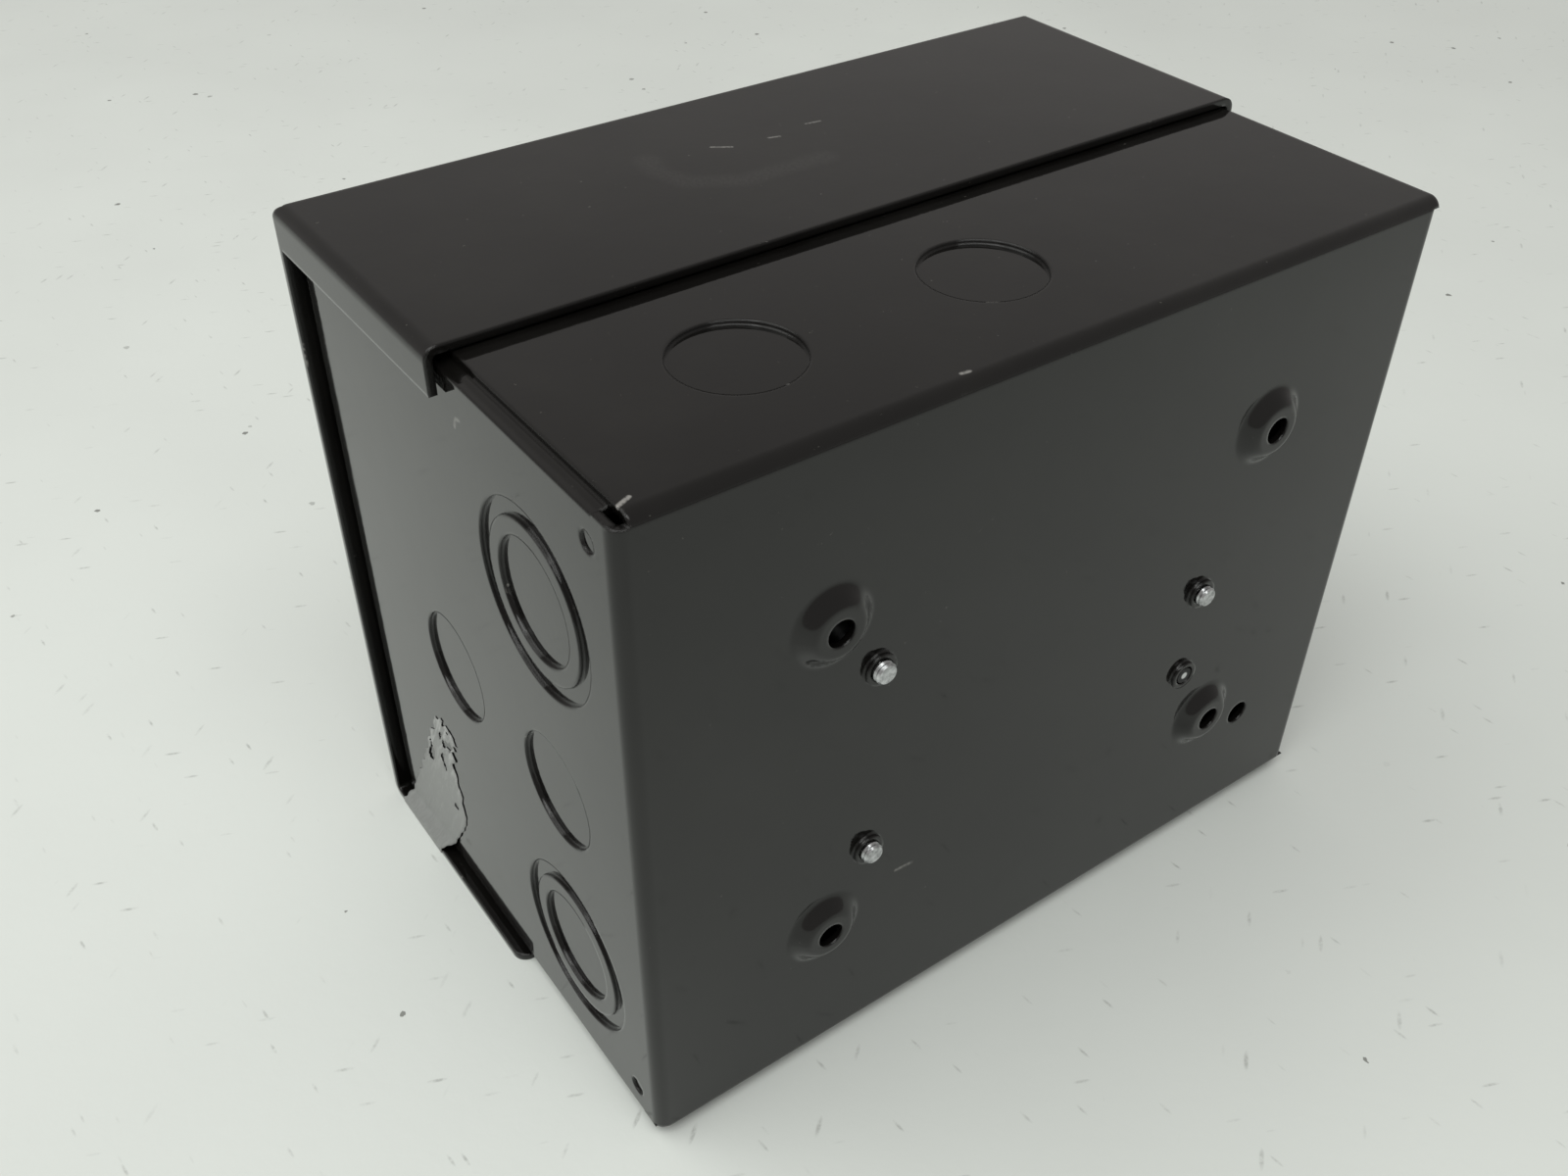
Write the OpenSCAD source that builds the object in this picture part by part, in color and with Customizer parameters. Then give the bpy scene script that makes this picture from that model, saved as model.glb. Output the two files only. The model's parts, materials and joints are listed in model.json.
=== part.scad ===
// Wall-mounted sheet steel enclosure with a component plate (subpanel) inside.
// Z is up, the wall is on the +Y side and the cover pulls off towards -Y.
// The origin is the centre of the four wall-mounting holes, in the plane of the wall.

/* [Box] */
// Width over the end faces
box_w = 172.6; // [165:0.1:190]
// Height of the box
box_h = 141.3; // [134:0.1:160]
// Depth from the back panel to the front edge
box_d = 109.8; // [104:0.1:120]
// Thickness of the sheet
sheet_t = 1.5; // [1.2:0.1:1.6]
// Outside radius of the folds
fold_r = 2.5; // [2:0.1:3]
// Mean step from the end faces to the ends of the top and bottom walls
wall_step = 1.5; // [1.3:0.1:2]
// Sideways offset of those walls, which don't sit quite centrally
wall_shift = -1.2; // [-1.2:0.1:0]
// Width of the flanges folded inwards from the end panels
flange_w = 14; // [12:0.5:15]
// Height of each corner that is cut free of the back folds
relief_h = 1.8; // [1.6:0.1:2.2]

/* [Cover] */
// Width of the cover
cover_w = 176.9; // [176.5:0.1:180]
// Reach of the top and bottom flanges, front face to rear edge
cover_reach = 61.3; // [45:0.1:75]
// Gap between the box and the cover's flanges
cover_gap = 0.5; // [0.3:0.1:0.8]
// Space between the front edge of the box and the front panel
cover_air = 1.6; // [1.4:0.1:2]
// Height of the lips that hang from the ends of the top flange
lip_h = 8.3; // [6:0.1:14]
// Corner radius of the bottom flange, at its rear edge
flange_corner_r = 3; // [1:0.5:5]
// Distance of each cover screw from its end face
cover_screw_inset = 8; // [7.5:0.1:8.5]

/* [Knockouts] */
// Diameter of the smallest knockout, half inch trade size
ko_small_d = 22.2; // [21:0.1:23]
// Diameter of the middle ring, three-quarter inch trade size
ko_mid_d = 28.6; // [28:0.1:29]
// Diameter of the largest ring, one inch trade size
ko_large_d = 34.9; // [34:0.1:35.5]
// Depth to which each slug is pushed in
ko_depth = 0.8; // [0.5:0.1:1]
// Distance from the back to the knockouts in the top and bottom walls
ko_wall_y = 26.3; // [22:0.1:28]
// Distance between the two knockouts in those walls
ko_wall_pitch = 49; // [40:0.1:56]
// Distance from the back to the rear row in the end panels
ko_rear_y = 27.4; // [24:0.1:30]
// Distance from the back to the front knockout in the end panels
ko_front_y = 65.8; // [55:0.1:75]
// Height of the middle of the rear row
ko_mid_z = 68.9; // [66:0.1:72]
// Vertical pitch of the rear row
ko_pitch = 41.1; // [38:0.1:43]

/* [Wall mounting] */
// Width of the pattern of holes
hole_span_x = 99.2; // [90:0.1:105]
// Height of the pattern of holes
hole_span_z = 71.9; // [65:0.1:75]
// Height of the pattern's centre above the bottom wall
hole_mid_z = 70.7; // [68:0.1:73]
// Diameter of the wall-mounting holes
hole_d = 5.3; // [5:0.1:6.5]
// Diameter of a boss at its base
boss_base_d = 16.5; // [15:0.1:17]
// Diameter of the flat rim of a boss
boss_rim_d = 8.6; // [8:0.1:10]
// Height of a boss
boss_h = 2.5; // [2.5:0.1:3.5]
// Diameter of the spare hole in the back panel
spare_d = 5.5; // [4:0.1:6]

/* [Subpanel] */
// Width of the subpanel
plate_w = 124; // [122:0.5:130]
// Height of the subpanel
plate_h = 92; // [90:0.5:96]
// Length of the spacers behind the subpanel
spacer_h = 8; // [6:0.5:10]
// Diameter of the openings that let a screwdriver reach the wall-mounting holes
access_d = 14; // [12:0.5:15]
// Length of the ground bar
bar_l = 64; // [62:0.5:66]
// Height of the ground bar
bar_h = 10; // [9:0.5:12]
// Thickness of the ground bar
bar_t = 8; // [8:0.5:10]

/* [Fasteners] */
// Diameter of the machine screws
screw_d = 4.16; // [3.9:0.01:4.2]
// Diameter of their heads
head_d = 8.2; // [7:0.1:9]
// Height of their heads
head_h = 2.6; // [2.2:0.1:3]
// Pitch of their threads
thread_p = 0.8; // [0.7:0.05:1]
// Running clearance of a screw in its hole, on the radius
screw_play = 0.08; // [0.05:0.01:0.1]
// Length of the subpanel screws' tips behind the back panel
tip_l = 2.4; // [1.5:0.1:2.4]
// Length of the cover screws under the head
cover_screw_l = 14; // [12:0.5:16]
// Gap under the heads of the cover screws
head_gap = 0.3; // [0.2:0.05:0.5]

/* [Hidden] */
$fn = 64;

slack = 0.01;
wall_w = box_w - 2 * wall_step;
ring_flat_w = box_w - 2 * fold_r;
relief_d = 5.5;
// Spot weld dimples in the end panels, near the back corners
weld_d = 3.8;
weld_depth = 0.4;
weld_inset = 7.4;
// Length of a cutter that has to pass right through a wall
cut_l = 10;
// Overlap of a boss with the flat sheet round it
boss_lap = 0.2;
mid_z = box_h / 2;
hole_xs = [-hole_span_x / 2, hole_span_x / 2];
hole_zs = [hole_mid_z - hole_span_z / 2, hole_mid_z + hole_span_z / 2];
// Zones of a knockout that are pushed in, as inner and outer diameters
small_zones = [[0, ko_small_d]];
ring_zones = [[0, ko_small_d], [ko_mid_d, ko_large_d]];
// Subpanel screws, X and Z from the box's middle and bottom
plate_screws = [[39.8, 93.1], [40.3, 50.3], [-40.4, 71.7], [-40.3, 50.6]];
short_tip = 0.9;
tips = [tip_l, tip_l, tip_l, short_tip];
spare_at = [-63.3, 27.3];
collar_d = 6.2;
collar_h = 1;
screw_r = screw_d / 2;
bore_r = screw_r + screw_play;
// Share of a pan head's height that is domed
head_dome = 0.55;
recess_w = 1;
recess_l = 4.9;
recess_d = 1.3;
thread_depth = 0.3;
// Cover
cover_d = box_d + cover_air + sheet_t;
cover_h = box_h + 2 * (cover_gap + sheet_t);
cover_screw_x = box_w / 2 - cover_screw_inset;
// Layers of the subpanel, as distances from the back face
plate_t = 1.5;
plate_back = sheet_t + spacer_h;
plate_front = plate_back + plate_t;
washer_t = 1;
washer_d = 7.6;
// Width and direction of the split in a lock washer
split_w = 0.4;
split_turn = 40;
spacer_d = 8;
plate_corner_r = 3;
// Ground bar
bar_z = 44;
bar_screw_x = 27;
terminal_pitch = 9;
terminal_r = 2;
wire_d = 4.4;
wire_y = plate_front + 3.2;
stem_gap = 0.4;
slot_depth = 1;
terminal_head_d = 6.2;
terminal_head_h = 2.2;
bar_screw_bore = 1.6;
// Clip nuts
clip_t = 0.8;
clip_h = 12;
clip_leg = 12;
barrel_d = 6.6;
barrel_l = 2.4;
flange_hole_d = 7;

// ---- shared shapes ----

module in_box() {
    translate([0, -boss_h, -hole_mid_z]) children();
}

module rounded_rect(w, d, r) {
    translate([-w / 2, -d / 2 + r]) square([w, d - 2 * r]);
    translate([-w / 2 + r, -d / 2]) square([w - 2 * r, d]);
    for (sx = [-1, 1], sy = [-1, 1]) {
        translate([sx * (w / 2 - r), sy * (d / 2 - r)]) circle(r);
    }
}

// Closed section of folded sheet, centred
module folded_ring(w, d) {
    difference() {
        rounded_rect(w, d, fold_r);
        rounded_rect(w - 2 * sheet_t, d - 2 * sheet_t, fold_r - sheet_t);
    }
}

// Channel with its web on the first axis and two walls of depth d behind it
module channel_section(w, d) {
    difference() {
        translate([0, -d]) folded_ring(w, 2 * d);
        translate([-w, -3 * d]) square([2 * w, 2 * d]);
    }
}

module ring(d_in, d_out, h) {
    difference() {
        cylinder(d = d_out, h = h);
        if (d_in > 0) translate([0, 0, -1]) cylinder(d = d_in, h = h + 2);
    }
}

// Points its children's +Z along +Y or -Y
module facing_back() {
    rotate([-90, 0, 0]) children();
}

module facing_front() {
    rotate([90, 0, 0]) children();
}

// Pan head standing on z = 0, with a cross recess
module pan_head(d, h) {
    rise = h * head_dome;
    difference() {
        rotate_extrude() {
            polygon(concat(
                [[0, 0], [d / 2, 0], [d / 2, h - rise]],
                [for (a = [15:15:90]) [d / 2 * cos(a), h - rise + rise * sin(a)]]
            ));
        }
        for (turn = [0, 90]) rotate([0, 0, turn]) {
            translate([-recess_l / 2, -recess_w / 2, h - recess_d]) cube([recess_l, recess_w, recess_d + 1]);
        }
    }
}

// Shank hanging below z = 0 with thread rings along its lower part
module threaded_shank(r, l, thread_l) {
    turns = floor(thread_l / thread_p);
    core = r - thread_depth;
    rotate_extrude() {
        polygon(concat(
            [[0, 0], [r, 0], [r, -l + turns * thread_p + thread_p / 2]],
            [for (i = [turns:-1:1]) each [[core, -l + i * thread_p], [r, -l + (i - 0.5) * thread_p]]],
            [[core, -l], [0, -l]]
        ));
    }
}

// ---- box ----

// Places children on every knockout's outer face, with +Z outwards
module at_small_knockouts() {
    for (i = [0, 1]) {
        translate([i * ko_wall_pitch, -ko_wall_y, box_h]) children();
        translate([i * ko_wall_pitch, -ko_wall_y, 0]) rotate([180, 0, 0]) children();
    }
    for (s = [-1, 1], y = [ko_rear_y, ko_front_y]) {
        translate([s * box_w / 2, -y, ko_mid_z]) rotate([0, s * 90, 0]) children();
    }
}

module at_ring_knockouts() {
    for (s = [-1, 1], up = [-1, 1]) {
        translate([s * box_w / 2, -ko_rear_y, ko_mid_z + up * ko_pitch]) rotate([0, s * 90, 0]) children();
    }
}

module knockout_zones(zones, z, h) {
    for (zone = zones) translate([0, 0, z]) ring(zone[0], zone[1], h);
}

module all_knockouts(z, h) {
    at_small_knockouts() knockout_zones(small_zones, z, h);
    at_ring_knockouts() knockout_zones(ring_zones, z, h);
}

module at_wall_holes() {
    for (x = hole_xs, z = hole_zs) translate([x, 0, z]) facing_back() children();
}

// Height of the boss at radius r, an S-shaped flank between base and rim
function boss_rise(r) = boss_h * (1 - cos(180 * (boss_base_d / 2 - r) / (boss_base_d - boss_rim_d) * 2)) / 2;

module boss_shell() {
    base_r = boss_base_d / 2;
    rim_r = boss_rim_d / 2;
    steps = 10;
    flank = [for (i = [0:steps]) let (r = base_r - (base_r - rim_r) * i / steps) [r, boss_rise(r)]];
    outer = concat([[base_r + boss_lap, 0]], flank, [[hole_d / 2, boss_h]]);
    inner = [for (i = [len(outer) - 1:-1:0]) outer[i] - [0, sheet_t]];
    rotate_extrude() polygon(concat(outer, inner));
}

// Back, top and bottom walls, folded from one strip
module back_and_walls() {
    difference() {
        translate([wall_shift, 0, mid_z]) rotate([0, 90, 0]) {
            linear_extrude(wall_w, center = true) channel_section(box_h, box_d);
        }
        for (s = [-1, 1]) {
            translate([s * (ring_flat_w / 2 + fold_r), 0, mid_z]) {
                cube([2 * fold_r, 2 * (sheet_t + slack), box_h - 2 * relief_h], center = true);
            }
        }
    }
}

// End panels between the corner reliefs, folded from the back panel, with front flanges
module end_panels() {
    translate([0, 0, relief_h]) linear_extrude(box_h - 2 * relief_h) difference() {
        translate([0, -box_d / 2]) folded_ring(box_w, box_d);
        translate([-box_w / 2 + flange_w, -box_d - 1]) square([box_w - 2 * flange_w, 1 + fold_r]);
    }
}

// Flanges along the top and bottom of the end panels, tucked inside the walls
module end_flanges() {
    length = box_d - relief_d - fold_r - 1;
    difference() {
        translate([0, -relief_d, mid_z]) facing_front() {
            linear_extrude(length) folded_ring(box_w, box_h - 2 * sheet_t);
        }
        translate([-box_w / 2 + flange_w, -box_d, -1]) cube([box_w - 2 * flange_w, box_d, box_h + 2]);
    }
    tab_h = relief_h - sheet_t + slack;
    tab_d = relief_d - sheet_t + slack;
    for (s = [-1, 1], z = [sheet_t, box_h - sheet_t - tab_h]) {
        translate([s * (box_w - sheet_t) / 2, -sheet_t - tab_d / 2, z + tab_h / 2]) {
            cube([sheet_t, tab_d, tab_h], center = true);
        }
    }
}

// Places children on the end panels' outer faces at the weld dimples, with +Z outwards
module at_welds() {
    for (s = [-1, 1], z = [weld_inset, box_h - weld_inset]) {
        translate([s * box_w / 2, -weld_inset, z]) rotate([0, s * 90, 0]) children();
    }
}

module box_shell() color([0.09, 0.09, 0.09]) in_box() {
    difference() {
        union() {
            difference() {
                union() {
                    back_and_walls();
                    end_panels();
                    end_flanges();
                }
                at_wall_holes() cylinder(d = boss_base_d, h = cut_l, center = true);
                all_knockouts(-ko_depth, ko_depth + 1);
                at_welds() translate([0, 0, -weld_depth]) cylinder(d = weld_d, h = weld_depth + 1);
            }
            at_wall_holes() boss_shell();
            all_knockouts(-sheet_t - ko_depth, ko_depth + slack);
            for (p = plate_screws) {
                translate([p[0], -slack, p[1]]) facing_back() cylinder(d = collar_d, h = collar_h + slack);
            }
        }
        for (p = plate_screws) {
            translate([p[0], 0, p[1]]) facing_back() cylinder(r = bore_r, h = cut_l, center = true);
        }
        translate([spare_at[0], 0, spare_at[1]]) facing_back() cylinder(d = spare_d, h = cut_l, center = true);
        for (s = [-1, 1]) {
            translate([s * cover_screw_x, -box_d, mid_z]) facing_back() {
                cylinder(d = flange_hole_d, h = cut_l, center = true);
            }
        }
    }
}

// Spring steel nut clipped over the edge of a front flange
module clip_nut(s) color([0.35, 0.36, 0.38]) in_box() {
    edge = box_w / 2 - flange_w;
    difference() {
        union() {
            for (y = [-box_d - clip_t, -box_d + sheet_t]) {
                translate([s * (edge + clip_leg / 2 - clip_t / 2), y + clip_t / 2, mid_z]) {
                    cube([clip_leg + clip_t, clip_t, clip_h], center = true);
                }
            }
            translate([s * (edge - clip_t / 2), -box_d + sheet_t / 2, mid_z]) {
                cube([clip_t, sheet_t + 2 * clip_t, clip_h], center = true);
            }
            translate([s * cover_screw_x, -box_d + sheet_t + clip_t - slack, mid_z]) {
                facing_back() cylinder(d = barrel_d, h = barrel_l + slack);
            }
        }
        translate([s * cover_screw_x, -box_d, mid_z]) facing_back() {
            cylinder(r = bore_r, h = 2 * cut_l, center = true);
        }
    }
}

// ---- subpanel and what holds it ----

module subpanel() color([0.72, 0.73, 0.72]) in_box() {
    difference() {
        translate([0, -plate_back, hole_mid_z]) facing_front() {
            linear_extrude(plate_t) rounded_rect(plate_w, plate_h, plate_corner_r);
        }
        for (x = hole_xs, z = hole_zs) {
            translate([x, -plate_front - 1, z]) facing_back() cylinder(d = access_d, h = plate_t + 2);
        }
        for (p = plate_screws) {
            translate([p[0], -plate_front - 1, p[1]]) facing_back() cylinder(r = bore_r, h = plate_t + 2);
        }
        for (s = [-1, 1]) {
            translate([s * bar_screw_x, -plate_front - 1, bar_z]) {
                facing_back() cylinder(r = bar_screw_bore, h = plate_t + 2);
            }
        }
    }
}

module spacer(i) color([0.78, 0.79, 0.8]) in_box() {
    translate([plate_screws[i][0], -plate_back, plate_screws[i][1]]) {
        facing_back() ring(2 * bore_r, spacer_d, spacer_h);
    }
}

// Split washer under a screw head
module lock_washer(i) color([0.6, 0.61, 0.62]) in_box() {
    translate([plate_screws[i][0], -plate_front, plate_screws[i][1]]) facing_front() {
        difference() {
            ring(2 * bore_r, washer_d, washer_t);
            rotate([0, 0, split_turn]) translate([0, -split_w / 2, -1]) cube([washer_d, split_w, washer_t + 2]);
        }
    }
}

module subpanel_screw(i) color(i < 3 ? [0.8, 0.8, 0.8] : [0.2, 0.2, 0.2]) in_box() {
    translate([plate_screws[i][0], -plate_front - washer_t, plate_screws[i][1]]) facing_front() {
        pan_head(head_d, head_h);
        threaded_shank(screw_r, plate_front + washer_t + tips[i], tips[i] + sheet_t + 1);
    }
}

module ground_bar() color([0.78, 0.79, 0.8]) in_box() {
    difference() {
        translate([0, -plate_front - bar_t / 2, bar_z]) cube([bar_l, bar_t, bar_h], center = true);
        for (i = [-2:2]) translate([i * terminal_pitch, 0, bar_z]) {
            translate([0, -wire_y, -bar_h]) cylinder(d = wire_d, h = 2 * bar_h);
            translate([0, -wire_y, 0]) facing_front() cylinder(r = terminal_r + screw_play, h = bar_t);
        }
        for (s = [-1, 1]) {
            translate([s * bar_screw_x, -plate_front - bar_t - 1, bar_z]) {
                facing_back() cylinder(r = bore_r, h = bar_t + 2);
            }
        }
    }
}

module bar_screw(s) color([0.8, 0.8, 0.8]) in_box() {
    translate([s * bar_screw_x, -plate_front - bar_t, bar_z]) facing_front() {
        pan_head(head_d, head_h);
        translate([0, 0, -bar_t]) cylinder(r = screw_r, h = bar_t + slack);
        translate([0, 0, -bar_t - plate_t - 1]) cylinder(r = bar_screw_bore - screw_play, h = plate_t + 1 + slack);
    }
}

module terminal_screw(i) color([0.2, 0.5, 0.28]) in_box() {
    stem = plate_front + bar_t - wire_y - wire_d / 2 + stem_gap;
    translate([(i - 2) * terminal_pitch, -plate_front - bar_t, bar_z]) facing_front() {
        difference() {
            cylinder(d = terminal_head_d, h = terminal_head_h);
            translate([-terminal_head_d, -recess_w / 2, terminal_head_h - slot_depth]) {
                cube([2 * terminal_head_d, recess_w, 2]);
            }
        }
        translate([0, 0, -stem]) cylinder(r = terminal_r, h = stem + slack);
    }
}

// ---- cover ----

// Front panel with its top and bottom flanges
module cover_channel() {
    translate([0, -cover_d, mid_z]) rotate([0, 90, 0]) {
        linear_extrude(cover_w, center = true) mirror([0, 1]) channel_section(cover_h, cover_reach);
    }
}

// Top flange folded down at both ends
module cover_lips() {
    difference() {
        translate([0, -cover_d + sheet_t - slack, mid_z]) facing_back() {
            linear_extrude(cover_reach - sheet_t + slack) folded_ring(cover_w, cover_h);
        }
        translate([-cover_w, -cover_d, mid_z - cover_h]) cube([2 * cover_w, cover_d, 1.5 * cover_h - lip_h]);
    }
}

// Outline from above, with the bottom flange's rear corners rounded
module cover_plan() {
    translate([0, -cover_d, mid_z]) linear_extrude(cover_h, center = true) {
        translate([0, cover_reach / 2]) rounded_rect(cover_w, cover_reach, flange_corner_r);
        translate([-cover_w / 2, 0]) square([cover_w, cover_reach / 2]);
    }
    translate([-cover_w / 2, -cover_d, mid_z]) cube([cover_w, cover_reach, cover_h]);
}

// Outline from the front, with the top corners rounded to meet the lips
module cover_outline() {
    translate([0, -cover_d - 1, mid_z]) facing_back() linear_extrude(cover_reach + 2) {
        rounded_rect(cover_w, cover_h, fold_r);
        translate([-cover_w / 2, 0]) square([cover_w, cover_h / 2]);
    }
}

module cover() color([0.08, 0.08, 0.08]) in_box() {
    difference() {
        intersection() {
            union() {
                cover_channel();
                cover_lips();
            }
            cover_outline();
            cover_plan();
        }
        for (s = [-1, 1]) {
            translate([s * cover_screw_x, -cover_d, mid_z]) facing_back() {
                cylinder(r = bore_r, h = cut_l, center = true);
            }
        }
    }
}

module cover_screw(s) color([0.75, 0.75, 0.75]) in_box() {
    translate([s * cover_screw_x, -cover_d - head_gap, mid_z]) facing_front() {
        pan_head(head_d, head_h);
        translate([0, 0, -cover_screw_l]) cylinder(r = screw_r, h = cover_screw_l + slack);
    }
}

box_shell();
clip_nut(-1);  // clip_nut_left
clip_nut(1);  // clip_nut_right
subpanel();
spacer(0);  // spacer_1
spacer(1);  // spacer_2
spacer(2);  // spacer_3
spacer(3);  // spacer_4
subpanel_screw(0);  // subpanel_screw_1
subpanel_screw(1);  // subpanel_screw_2
subpanel_screw(2);  // subpanel_screw_3
subpanel_screw(3);  // subpanel_screw_4
lock_washer(0);  // lock_washer_1
lock_washer(1);  // lock_washer_2
lock_washer(2);  // lock_washer_3
lock_washer(3);  // lock_washer_4
ground_bar();
bar_screw(-1);  // bar_screw_1
bar_screw(1);  // bar_screw_2
terminal_screw(0);  // terminal_screw_1
terminal_screw(1);  // terminal_screw_2
terminal_screw(2);  // terminal_screw_3
terminal_screw(3);  // terminal_screw_4
terminal_screw(4);  // terminal_screw_5
cover();
cover_screw(-1);  // cover_screw_left
cover_screw(1);  // cover_screw_right
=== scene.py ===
import json
import math

import bmesh
import bpy
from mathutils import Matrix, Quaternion, Vector
from mathutils import noise as mathNoise


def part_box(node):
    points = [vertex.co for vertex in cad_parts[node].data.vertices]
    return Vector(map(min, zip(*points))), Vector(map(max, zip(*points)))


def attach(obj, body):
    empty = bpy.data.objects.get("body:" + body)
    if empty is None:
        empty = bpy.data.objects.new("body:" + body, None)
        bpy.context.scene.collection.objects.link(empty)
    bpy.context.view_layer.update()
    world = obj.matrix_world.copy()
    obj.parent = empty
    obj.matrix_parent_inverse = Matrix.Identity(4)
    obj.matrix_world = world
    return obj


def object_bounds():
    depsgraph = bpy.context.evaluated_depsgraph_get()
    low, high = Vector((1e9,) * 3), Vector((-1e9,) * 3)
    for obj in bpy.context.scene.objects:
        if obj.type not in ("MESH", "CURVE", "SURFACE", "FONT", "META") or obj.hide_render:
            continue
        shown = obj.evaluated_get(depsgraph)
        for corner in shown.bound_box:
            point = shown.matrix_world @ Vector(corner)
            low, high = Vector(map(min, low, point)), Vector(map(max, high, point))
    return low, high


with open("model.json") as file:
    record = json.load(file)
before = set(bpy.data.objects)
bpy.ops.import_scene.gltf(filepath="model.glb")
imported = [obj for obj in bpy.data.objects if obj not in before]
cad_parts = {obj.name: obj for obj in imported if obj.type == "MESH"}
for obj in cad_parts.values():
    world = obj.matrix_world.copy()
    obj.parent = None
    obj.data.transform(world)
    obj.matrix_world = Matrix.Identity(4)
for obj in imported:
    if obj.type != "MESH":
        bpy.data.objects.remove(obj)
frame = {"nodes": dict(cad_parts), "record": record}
cadLow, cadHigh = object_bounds()
nodes = frame["nodes"]
scene = bpy.context.scene
print("frame loaded,", len(nodes), "pieces")


# helpers for shader trees

def newMaterial(name):
    material = bpy.data.materials.new(name)
    material.use_nodes = True
    tree = material.node_tree
    return material, tree, tree.nodes["Principled BSDF"]


def addNode(tree, kind, **settings):
    node = tree.nodes.new(kind)
    for key, value in settings.items():
        setattr(node, key, value)
    return node


def plug(tree, socket, value):
    if isinstance(value, (int, float)):
        socket.default_value = value
    elif isinstance(value, tuple):
        filled = (*value, 1) if socket.type == "RGBA" else value
        socket.default_value = filled
    else:
        tree.links.new(value, socket)


def objectSpace(tree, turn=(0, 0, 0)):
    coord = addNode(tree, "ShaderNodeTexCoord")
    mapping = addNode(tree, "ShaderNodeMapping")
    mapping.inputs["Rotation"].default_value = turn
    plug(tree, mapping.inputs["Vector"], coord.outputs["Object"])
    return mapping.outputs["Vector"]


def noise(tree, vector, scale, detail=3.0, rough=0.55, warp=0.0):
    node = addNode(tree, "ShaderNodeTexNoise")
    plug(tree, node.inputs["Vector"], vector)
    plug(tree, node.inputs["Scale"], scale)
    plug(tree, node.inputs["Detail"], detail)
    plug(tree, node.inputs["Roughness"], rough)
    plug(tree, node.inputs["Distortion"], warp)
    return node.outputs["Fac"]


def cells(tree, vector, scale):
    node = addNode(tree, "ShaderNodeTexVoronoi")
    plug(tree, node.inputs["Vector"], vector)
    plug(tree, node.inputs["Scale"], scale)
    return node.outputs["Distance"], node.outputs["Color"]


def ramp(tree, value, low, high, start=0.0, end=1.0):
    node = addNode(tree, "ShaderNodeMapRange", clamp=True)
    plug(tree, node.inputs["Value"], value)
    plug(tree, node.inputs["From Min"], low)
    plug(tree, node.inputs["From Max"], high)
    plug(tree, node.inputs["To Min"], start)
    plug(tree, node.inputs["To Max"], end)
    return node.outputs["Result"]


def maths(tree, operation, first, second=0.0):
    node = addNode(tree, "ShaderNodeMath", operation=operation)
    plug(tree, node.inputs[0], first)
    plug(tree, node.inputs[1], second)
    return node.outputs[0]


def vectorMaths(tree, operation, first, second):
    node = addNode(tree, "ShaderNodeVectorMath", operation=operation)
    plug(tree, node.inputs[0], first)
    plug(tree, node.inputs[1], second)
    return node.outputs["Value" if operation in ("DOT_PRODUCT", "DISTANCE") else "Vector"]


def mixColour(tree, fac, first, second):
    node = addNode(tree, "ShaderNodeMix", data_type="RGBA")
    plug(tree, node.inputs[0], fac)
    plug(tree, node.inputs[6], first)
    plug(tree, node.inputs[7], second)
    return node.outputs[2]


def bump(tree, height, strength, distance, normal=None):
    node = addNode(tree, "ShaderNodeBump")
    plug(tree, node.inputs["Strength"], strength)
    plug(tree, node.inputs["Distance"], distance)
    plug(tree, node.inputs["Height"], height)
    if normal is not None:
        plug(tree, node.inputs["Normal"], normal)
    return node.outputs["Normal"]


def strongest(tree, masks):
    total = masks[0]
    for mask in masks[1:]:
        total = maths(tree, "MAXIMUM", total, mask)
    return total


# distance to the straight line between two points
def lineDistance(tree, place, start, end):
    along = Vector(end) - Vector(start)
    fromStart = vectorMaths(tree, "SUBTRACT", place, tuple(start))
    share = vectorMaths(tree, "DOT_PRODUCT", fromStart, tuple(along / along.length_squared))
    share = ramp(tree, share, 0, 1)
    step = addNode(tree, "ShaderNodeVectorMath", operation="SCALE")
    step.inputs[0].default_value = along
    plug(tree, step.inputs["Scale"], share)
    return vectorMaths(tree, "DISTANCE", fromStart, step.outputs["Vector"])


strokeCore = 0.3  # share of a stroke's width that is at full strength
middling = (0.3, 0.7)  # the range that most of a noise lies in


# one soft mask for a line drawn through several points
def stroke(tree, place, points, width):
    masks = []
    for start, end in zip(points, points[1:]):
        masks.append(ramp(tree, lineDistance(tree, place, start, end), width, width * strokeCore))
    return strongest(tree, masks)


# black enamel on the box and the cover
enamel = {
    "paint": (0.0040, 0.0037, 0.0034),
    "dust": (0.15, 0.145, 0.13),
    "steel": (0.45, 0.44, 0.42),
    "ior": 1.46,
    "gloss": (0.035, 0.10),  # roughness where clean and where smeared
    "bareShine": 0.7,
    "dustDullness": 0.5,
    "edgeRadius": 0.0008,
    # noises: scale, detail, roughness and warp
    "chipNoise": (95, 4, 0.7),
    "scuffNoise": (1500, 2, 0.6),
    "speckNoise": (900, 2, 0.6),
    "filmNoise": (24, 5, 0.6),
    "smearNoise": (30, 6, 0.6, 0.8),
    # cuts: where a mask starts and is full, then its least and its most
    "edgeCut": (0.96, 0.80),
    "chipCut": (0.66, 0.70),
    "scuffCut": (0.35, 0.60, 0.25, 1.0),
    "speckCut": (0.74, 0.80, 0.0, 0.35),
    "filmCut": (0.45, 0.80, 0.0, 0.03),
    "smearCut": (0.35, 0.75),
    "peel": {"noise": (700, 2, 0.5), "strength": 0.16, "depth": 0.00004},
    "waves": {"noise": (40, 2, 0.5), "strength": 0.28, "depth": 0.0002},
}

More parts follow.
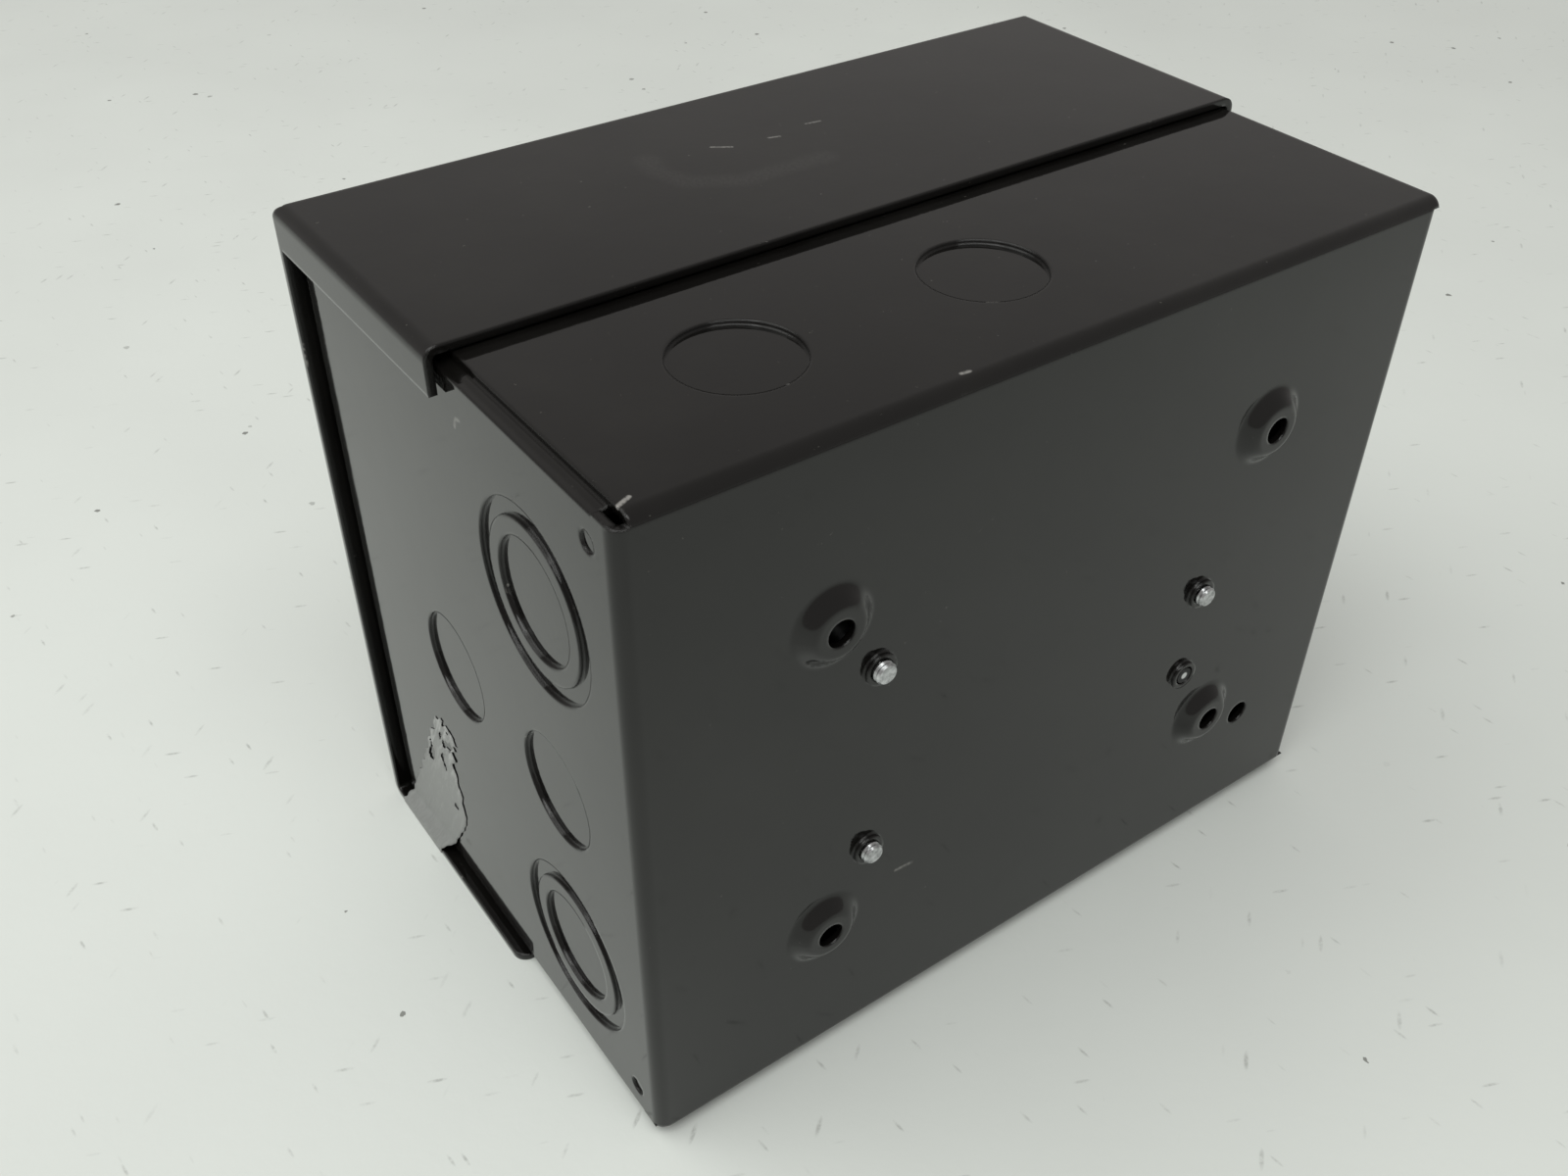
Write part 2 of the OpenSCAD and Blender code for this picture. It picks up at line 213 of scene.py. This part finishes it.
# faces of the box and the cover that the scuffs and the tape lie on
bossHeight = 0.0025
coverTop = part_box("cover")[1].z
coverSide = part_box("cover")[1].x
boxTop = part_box("box_shell")[1].z
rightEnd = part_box("box_shell")[1].x
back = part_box("box_shell")[1].y - bossHeight

# scuffs on each enamelled piece: points along them, in metres
scuffs = {
    "cover": {
        "swirl": {
            "points": [
                (0.0249, -0.0940, coverTop), (0.0259, -0.0884, coverTop), (0.0238, -0.0818, coverTop),
                (0.0150, -0.0767, coverTop), (-0.0031, -0.0768, coverTop)],
            "width": 0.0034, "strength": 0.022},
        "long nick": {
            "points": [(0.0118, -0.0924, coverTop), (0.0086, -0.0903, coverTop)],
            "width": 0.00042, "strength": 0.45},
        "middle nick": {
            "points": [(0.0004, -0.0899, coverTop), (-0.0016, -0.0893, coverTop)],
            "width": 0.00042, "strength": 0.40},
        "far nick": {
            "points": [(-0.0094, -0.0914, coverTop), (-0.0124, -0.0910, coverTop)],
            "width": 0.00042, "strength": 0.35},
    },
    "box_shell": {
        "back scratch": {
            "points": [(0.0329, back, -0.0315), (0.0291, back, -0.0318)],
            "width": 0.0005, "strength": 0.35},
        "hook": {
            "points": [
                (rightEnd, -0.0510, 0.0600), (rightEnd, -0.0502, 0.0618), (rightEnd, -0.0488, 0.0622)],
            "width": 0.0005, "strength": 0.35},
        "corner chip": {
            "points": [(0.0838, -0.0054, 0.0705), (0.0812, -0.0065, boxTop)],
            "width": 0.0005, "strength": 1.0},
        "fold chip": {
            "points": [(0.0246, -0.0054, boxTop), (0.0232, -0.0053, boxTop)],
            "width": 0.0005, "strength": 0.7},
        "top dash": {
            "points": [(0.0496, -0.0192, boxTop), (0.0474, -0.0178, boxTop)],
            "width": 0.0004, "strength": 0.3},
    },
}


def blackEnamel(piece):
    material, tree, shader = newMaterial("black enamel " + piece)
    place = objectSpace(tree)

    # chips along the edges, where a rounded normal leaves the true one
    soft = addNode(tree, "ShaderNodeBevel", samples=6)
    plug(tree, soft.inputs["Radius"], enamel["edgeRadius"])
    geometry = addNode(tree, "ShaderNodeNewGeometry")
    agree = vectorMaths(tree, "DOT_PRODUCT", soft.outputs["Normal"], geometry.outputs["Normal"])
    edge = ramp(tree, agree, *enamel["edgeCut"])
    patches = ramp(tree, noise(tree, place, *enamel["chipNoise"]), *enamel["chipCut"])
    chips = maths(tree, "MULTIPLY", edge, patches)

    # scuffs where hands and tools have rubbed
    broken = ramp(tree, noise(tree, place, *enamel["scuffNoise"]), *enamel["scuffCut"])
    rubbed = []
    for scuff in scuffs[piece].values():
        line = stroke(tree, place, scuff["points"], scuff["width"])
        rubbed.append(maths(tree, "MULTIPLY", line, scuff["strength"]))
    scuffed = maths(tree, "MULTIPLY", strongest(tree, rubbed), broken)
    bare = maths(tree, "MAXIMUM", chips, scuffed)

    # dust, lint and a thin film
    specks = ramp(tree, noise(tree, place, *enamel["speckNoise"]), *enamel["speckCut"])
    film = ramp(tree, noise(tree, place, *enamel["filmNoise"]), *enamel["filmCut"])
    dirt = maths(tree, "MAXIMUM", specks, film)

    colour = mixColour(tree, dirt, enamel["paint"], enamel["dust"])
    colour = mixColour(tree, bare, colour, enamel["steel"])
    plug(tree, shader.inputs["Base Color"], colour)
    plug(tree, shader.inputs["Metallic"], maths(tree, "MULTIPLY", bare, enamel["bareShine"]))

    # smears make the gloss uneven
    smears = noise(tree, place, *enamel["smearNoise"])
    smear = ramp(tree, smears, *enamel["smearCut"], *enamel["gloss"])
    dull = maths(tree, "MULTIPLY", dirt, enamel["dustDullness"])
    plug(tree, shader.inputs["Roughness"], maths(tree, "ADD", smear, dull))

    # orange peel and slow waves on the softened edges
    normal = soft.outputs["Normal"]
    for relief in (enamel["peel"], enamel["waves"]):
        height = noise(tree, place, *relief["noise"])
        normal = bump(tree, height, relief["strength"], relief["depth"], normal)
    plug(tree, shader.inputs["Normal"], normal)
    shader.inputs["IOR"].default_value = enamel["ior"]
    return material


# the dark screw's tip, rubbed bright
darkLow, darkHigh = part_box("subpanel_screw_4")
darkX = (darkLow.x + darkHigh.x) / 2
darkZ = (darkLow.z + darkHigh.z) / 2
tipReach = 0.001

# bare and plated metals
metals = {
    "bright zinc": {"colour": (0.66, 0.67, 0.68), "rough": 0.26, "grain": 900, "stain": 0.40},
    "galvanised sheet": {"colour": (0.50, 0.52, 0.53), "rough": 0.42, "grain": 120, "stain": 0.65},
    "turned aluminium": {"colour": (0.68, 0.69, 0.70), "rough": 0.33, "grain": 700, "stain": 0.70},
    "extruded aluminium": {"colour": (0.70, 0.71, 0.72), "rough": 0.36, "grain": 320, "stain": 0.70},
    "spring steel": {"colour": (0.16, 0.165, 0.18), "rough": 0.40, "grain": 500, "stain": 0.45},
    "black oxide": {
        "colour": (0.025, 0.025, 0.027), "rough": 0.36, "grain": 900, "stain": 0.50,
        "rubbedTip": ((darkX, back - tipReach, darkZ), (darkX, 0.0, darkZ))},
    "green zinc": {"colour": (0.03, 0.22, 0.08), "rough": 0.30, "grain": 900, "stain": 0.50},
}
wearAndShade = {
    # painted shade for corners and threads: its near-black colour, the occlusion reach and where it
    # starts and is full
    "paintedShade": (0.03, 0.028, 0.025),
    "paintedShadeReach": 0.0008,
    "paintedShadeCut": (0.35, 0.8, 0.75, 0.0),
    "tipCut": (0.0009, 0.0006),
    "polished": -0.08,  # change of roughness where rubbed and where dull
    "dulled": 0.12,
    "rubScale": 0.4,  # times the metal's own grain
    "grainScale": 2,
    "grainStrength": 0.2,
    "grainDepth": 0.00003,
}


def plainMetal(name):
    spec = metals[name]
    material, tree, shader = newMaterial(name)
    place = objectSpace(tree)
    mottled = ramp(tree, noise(tree, place, spec["grain"], detail=4, rough=0.6), *middling)
    stained = tuple(spec["stain"] * c for c in spec["colour"])
    colour = mixColour(tree, mottled, stained, spec["colour"])

    # painted shade: the colour darkens towards near-black in the corners and threads, where ambient
    # occlusion finds them
    hollow = addNode(tree, "ShaderNodeAmbientOcclusion", samples=4)
    plug(tree, hollow.inputs["Distance"], wearAndShade["paintedShadeReach"])
    paintedShade = ramp(tree, hollow.outputs["AO"], *wearAndShade["paintedShadeCut"])
    colour = mixColour(tree, paintedShade, colour, wearAndShade["paintedShade"])
    if "rubbedTip" in spec:
        start, end = spec["rubbedTip"]
        tip = ramp(tree, lineDistance(tree, place, start, end), *wearAndShade["tipCut"])
        colour = mixColour(tree, tip, colour, metals["bright zinc"]["colour"])
    plug(tree, shader.inputs["Base Color"], colour)

    rubs = noise(tree, place, spec["grain"] * wearAndShade["rubScale"], detail=5, rough=0.6)
    smooth = spec["rough"] + wearAndShade["polished"]
    coarse = spec["rough"] + wearAndShade["dulled"]
    plug(tree, shader.inputs["Roughness"], ramp(tree, rubs, *middling, smooth, coarse))
    grain = noise(tree, place, spec["grain"] * wearAndShade["grainScale"], detail=3, rough=0.6)
    plug(tree, shader.inputs["Normal"], bump(tree, grain, wearAndShade["grainStrength"], wearAndShade["grainDepth"]))
    shader.inputs["Metallic"].default_value = 1.0
    return material


finishes = {
    "zinc_plate": plainMetal("bright zinc"),
    "galvanised_sheet": plainMetal("galvanised sheet"),
    "spacer_aluminium": plainMetal("turned aluminium"),
    "bar_aluminium": plainMetal("extruded aluminium"),
    "spring_steel": plainMetal("spring steel"),
    "black_oxide": plainMetal("black oxide"),
    "green_zinc": plainMetal("green zinc"),
}
for part in frame["record"]["subparts"]:
    mesh = nodes[part["node"]].data
    mesh.materials.clear()
    if part["node"] in scuffs:
        mesh.materials.append(blackEnamel(part["node"]))
    else:
        mesh.materials.append(finishes[part["material_slot"]])
print("finishes on", len(nodes), "pieces")


# torn piece of old tape over the cover's lower edge
tape = {
    "rows": [
        # front edge Y and Z, rear edge Y and Z, and the row's X just off the face under it
        (-0.1105, -0.0725, -0.0915, -0.0725, coverSide + 0.00013),
        (-0.1102, -0.0708, -0.0906, -0.0706, coverSide + 0.00013),
        (-0.1076, -0.0672, -0.0858, -0.0655, rightEnd + 0.00038),
        (-0.1040, -0.0597, -0.0790, -0.0547, rightEnd + 0.0001),
        (-0.0980, -0.0502, -0.0770, -0.0482, rightEnd + 0.0001),
        (-0.0935, -0.0417, -0.0795, -0.0377, rightEnd + 0.00012),
        (-0.0895, -0.0337, -0.0775, -0.0307, rightEnd + 0.0001),
        (-0.0825, -0.0252, -0.0760, -0.0267, rightEnd + 0.00012),
    ],
    "across": 26,
    "along": 64,
    "ragged": 0.0009,
    "ripple": 0.00018,
    "thickness": 0.00006,
    "tornFrom": 0.52,
    "tearLevel": 0.80,
    "tearFall": 0.60,
    # scale across, scale along and slice of the noise
    "tearNoise": (5, 13, 9.1),
    "frayNoise": (3, 22, 1.7),
    "rippleNoise": (4, 7, 4.2),
    "frayLow": 0.15,
    "frayGrowth": 3,
    "rippleStart": 5,  # the ripples are full a fifth of the way up
    "colour": (0.20, 0.205, 0.20),
    "creased": (0.46, 0.47, 0.46),
    "gloss": (0.28, 0.50),
    "lean": 0.5,  # radians
    "streakStretch": (1, 1.8, 0.35),
    "streakNoise": (420, 5, 0.65),
    "streakStrength": 0.5,
    "streakDepth": 0.0002,
    "creaseCut": (0.45, 0.62),
    "creaseHeight": (-0.055, -0.035, 0.15, 0.75),
}


def tapeMaterial():
    material, tree, shader = newMaterial("old tape")
    place = objectSpace(tree)
    leaning = objectSpace(tree, turn=(tape["lean"], 0, 0))
    stretched = vectorMaths(tree, "MULTIPLY", leaning, tape["streakStretch"])
    streaks = noise(tree, stretched, *tape["streakNoise"])
    height = vectorMaths(tree, "DOT_PRODUCT", place, (0, 0, 1))
    upper = ramp(tree, height, *tape["creaseHeight"])
    creased = maths(tree, "MULTIPLY", ramp(tree, streaks, *tape["creaseCut"]), upper)
    plug(tree, shader.inputs["Base Color"], mixColour(tree, creased, tape["colour"], tape["creased"]))
    plug(tree, shader.inputs["Roughness"], ramp(tree, streaks, *middling, *tape["gloss"]))
    relief = bump(tree, streaks, tape["streakStrength"], tape["streakDepth"])
    plug(tree, shader.inputs["Normal"], relief)
    return material


def wobble(across, along, pattern):
    acrossScale, alongScale, layer = pattern
    return mathNoise.noise(Vector((across * acrossScale, along * alongScale, layer)))


# where a point of the tape lies, with across and along from 0 to 1
def tapePoint(across, along):
    rows = tape["rows"]
    spot = along * (len(rows) - 1)
    index = min(int(spot), len(rows) - 2)
    share = spot - index
    between = [a + (b - a) * share for a, b in zip(rows[index], rows[index + 1])]
    frontY, frontZ, rearY, rearZ, out = between
    edge = abs(across - 0.5) * 2
    fray = tape["ragged"] * edge ** 3 * wobble(across, along, tape["frayNoise"])
    lift = tape["ripple"] * max(0, wobble(across, along, tape["rippleNoise"]))
    y = frontY + (rearY - frontY) * across + fray * (tape["frayLow"] + tape["frayGrowth"] * along)
    z = frontZ + (rearZ - frontZ) * across
    return Vector((out + lift * min(1, along * tape["rippleStart"]), y, z))


def makeTape():
    body = bmesh.new()
    bmesh.ops.create_grid(body, x_segments=tape["across"], y_segments=tape["along"], size=0.5)
    torn = []
    for face in body.faces:
        middle = face.calc_center_median()
        along = middle.y + 0.5
        tear = wobble(middle.x, middle.y, tape["tearNoise"])
        if along > tape["tornFrom"] and tear > tape["tearLevel"] - tape["tearFall"] * along:
            torn.append(face)
    bmesh.ops.delete(body, geom=torn, context="FACES")
    for vert in body.verts:
        vert.co = tapePoint(vert.co.x + 0.5, vert.co.y + 0.5)
    bmesh.ops.recalc_face_normals(body, faces=body.faces)
    bmesh.ops.solidify(body, geom=body.faces[:], thickness=tape["thickness"])
    bmesh.ops.recalc_face_normals(body, faces=body.faces)
    mesh = bpy.data.meshes.new("tape_remnant")
    body.to_mesh(mesh)
    body.free()
    mesh.shade_smooth()
    mesh.materials.append(tapeMaterial())
    remnant = bpy.data.objects.new("tape_remnant", mesh)
    scene.collection.objects.link(remnant)
    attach(remnant, "cover")


makeTape()
print("tape on the cover")


# pale floor with grit and short scratches
table = {
    "size": 4.0,
    "colour": (0.690, 0.720, 0.690),
    "shade": (0.645, 0.672, 0.645),
    "grit": (0.16, 0.165, 0.15),
    "cloudNoise": (6, 4, 0.5),
    "wipeNoise": (18, 4, 0.6),
    "gloss": (0.42, 0.60),
    "gritScale": 60,
    "gritShare": (0.55, 0.75),
    "gritNoise": (260, 3, 0.7),
    "gritSize": (0.02, 0.09),
    "scratches": ((0.4, 75), (-0.7, 60), (1.5, 90)),  # turn and scale
    "scratchStretch": (1, 4.5, 1),
    "scratchShare": (0.66, 0.84),
    "scratchWidth": (0.16, 0.06),
    "breakNoise": (900, 3, 0.7),
    "breakCut": (0.35, 0.6, 0.2, 1.0),
    "scratchStrength": 0.5,
    "markStrength": 0.85,
    "grainNoise": (300, 4, 0.6),
    "grainStrength": 0.15,
    "grainDepth": 0.0004,
}


def tableMaterial():
    material, tree, shader = newMaterial("table")
    place = objectSpace(tree)
    clouds = ramp(tree, noise(tree, place, *table["cloudNoise"]), *middling)
    base = mixColour(tree, clouds, table["colour"], table["shade"])

    # grit shows only in some of the cells
    distance, tint = cells(tree, place, table["gritScale"])
    chosen = ramp(tree, vectorMaths(tree, "DOT_PRODUCT", tint, (1, 0, 0)), *table["gritShare"])
    size = ramp(tree, noise(tree, place, *table["gritNoise"]), *middling, *table["gritSize"])
    marks = [maths(tree, "MULTIPLY", maths(tree, "LESS_THAN", distance, size), chosen)]

    # short scratches lie in three directions
    for turn, scale in table["scratches"]:
        turned = objectSpace(tree, turn=(0, 0, turn))
        stretched = vectorMaths(tree, "MULTIPLY", turned, table["scratchStretch"])
        distance, tint = cells(tree, stretched, scale)
        chosen = ramp(tree, vectorMaths(tree, "DOT_PRODUCT", tint, (0, 1, 0)), *table["scratchShare"])
        broken = ramp(tree, noise(tree, place, *table["breakNoise"]), *table["breakCut"])
        thin = maths(tree, "MULTIPLY", ramp(tree, distance, *table["scratchWidth"]), broken)
        mark = maths(tree, "MULTIPLY", thin, chosen)
        marks.append(maths(tree, "MULTIPLY", mark, table["scratchStrength"]))
    soiled = maths(tree, "MULTIPLY", strongest(tree, marks), table["markStrength"])
    plug(tree, shader.inputs["Base Color"], mixColour(tree, soiled, base, table["grit"]))
    wiped = noise(tree, place, *table["wipeNoise"])
    plug(tree, shader.inputs["Roughness"], ramp(tree, wiped, *middling, *table["gloss"]))
    grain = noise(tree, place, *table["grainNoise"])
    relief = bump(tree, grain, table["grainStrength"], table["grainDepth"])
    plug(tree, shader.inputs["Normal"], relief)
    return material


def makeTable():
    mesh = bpy.data.meshes.new("table")
    body = bmesh.new()
    bmesh.ops.create_grid(body, x_segments=1, y_segments=1, size=table["size"] / 2)
    bmesh.ops.translate(body, verts=body.verts, vec=(0, 0, cadLow.z))
    body.to_mesh(mesh)
    body.free()
    mesh.materials.append(tableMaterial())
    floor = bpy.data.objects.new("table", mesh)
    scene.collection.objects.link(floor)


lamps = {
    "overhead": {
        "place": (0.90, -0.50, 1.50), "aim": (0, 0, 0), "size": (1.6, 1.6), "power": 15.5,
        "colour": (0.98, 1.0, 0.97)},
    "wall side": {
        "place": (0.45, 0.75, 1.80), "aim": (0, 0.05, 0), "size": (2.0, 0.9), "power": 23.0,
        "colour": (0.98, 1.0, 0.98)},
}


def hangLamp(name):
    spec = lamps[name]
    lamp = bpy.data.lights.new(name, "AREA")
    lamp.shape = "RECTANGLE"
    lamp.size, lamp.size_y = spec["size"]
    lamp.energy = spec["power"]
    lamp.color = spec["colour"]
    holder = bpy.data.objects.new(name, lamp)
    holder.location = spec["place"]
    holder.rotation_mode = "QUATERNION"
    beam = Vector(spec["aim"]) - Vector(spec["place"])
    holder.rotation_quaternion = beam.to_track_quat("-Z", "Y")
    scene.collection.objects.link(holder)


room = {"colour": (1.0, 0.965, 0.93), "strength": 0.385}


def fillRoom():
    world = bpy.data.worlds.new("room")
    world.use_nodes = True
    scene.world = world
    background = world.node_tree.nodes["Background"]
    background.inputs["Color"].default_value = (*room["colour"], 1)
    background.inputs["Strength"].default_value = room["strength"]


camera = {
    "place": (0.16107, 0.14045, 0.18820),
    "aim": (0.0475, -0.0183, 0.0320),
    "roll": 0.345,  # degrees
    "lens": 35.36,
    "sensor": 36,
    "nearest": 0.01,
}


def placeCamera():
    data = bpy.data.cameras.new("camera")
    data.lens = camera["lens"]
    data.sensor_width = camera["sensor"]
    data.clip_start = camera["nearest"]
    holder = bpy.data.objects.new("camera", data)
    holder.location = camera["place"]
    holder.rotation_mode = "QUATERNION"
    look = (Vector(camera["aim"]) - Vector(camera["place"])).to_track_quat("-Z", "Y")
    holder.rotation_quaternion = look @ Quaternion((0, 0, 1), math.radians(camera["roll"]))
    scene.collection.objects.link(holder)
    scene.camera = holder


makeTable()
fillRoom()
for lampName in lamps:
    hangLamp(lampName)
placeCamera()
scene.view_settings.view_transform = "Standard"
print("table, lamps and camera ready")
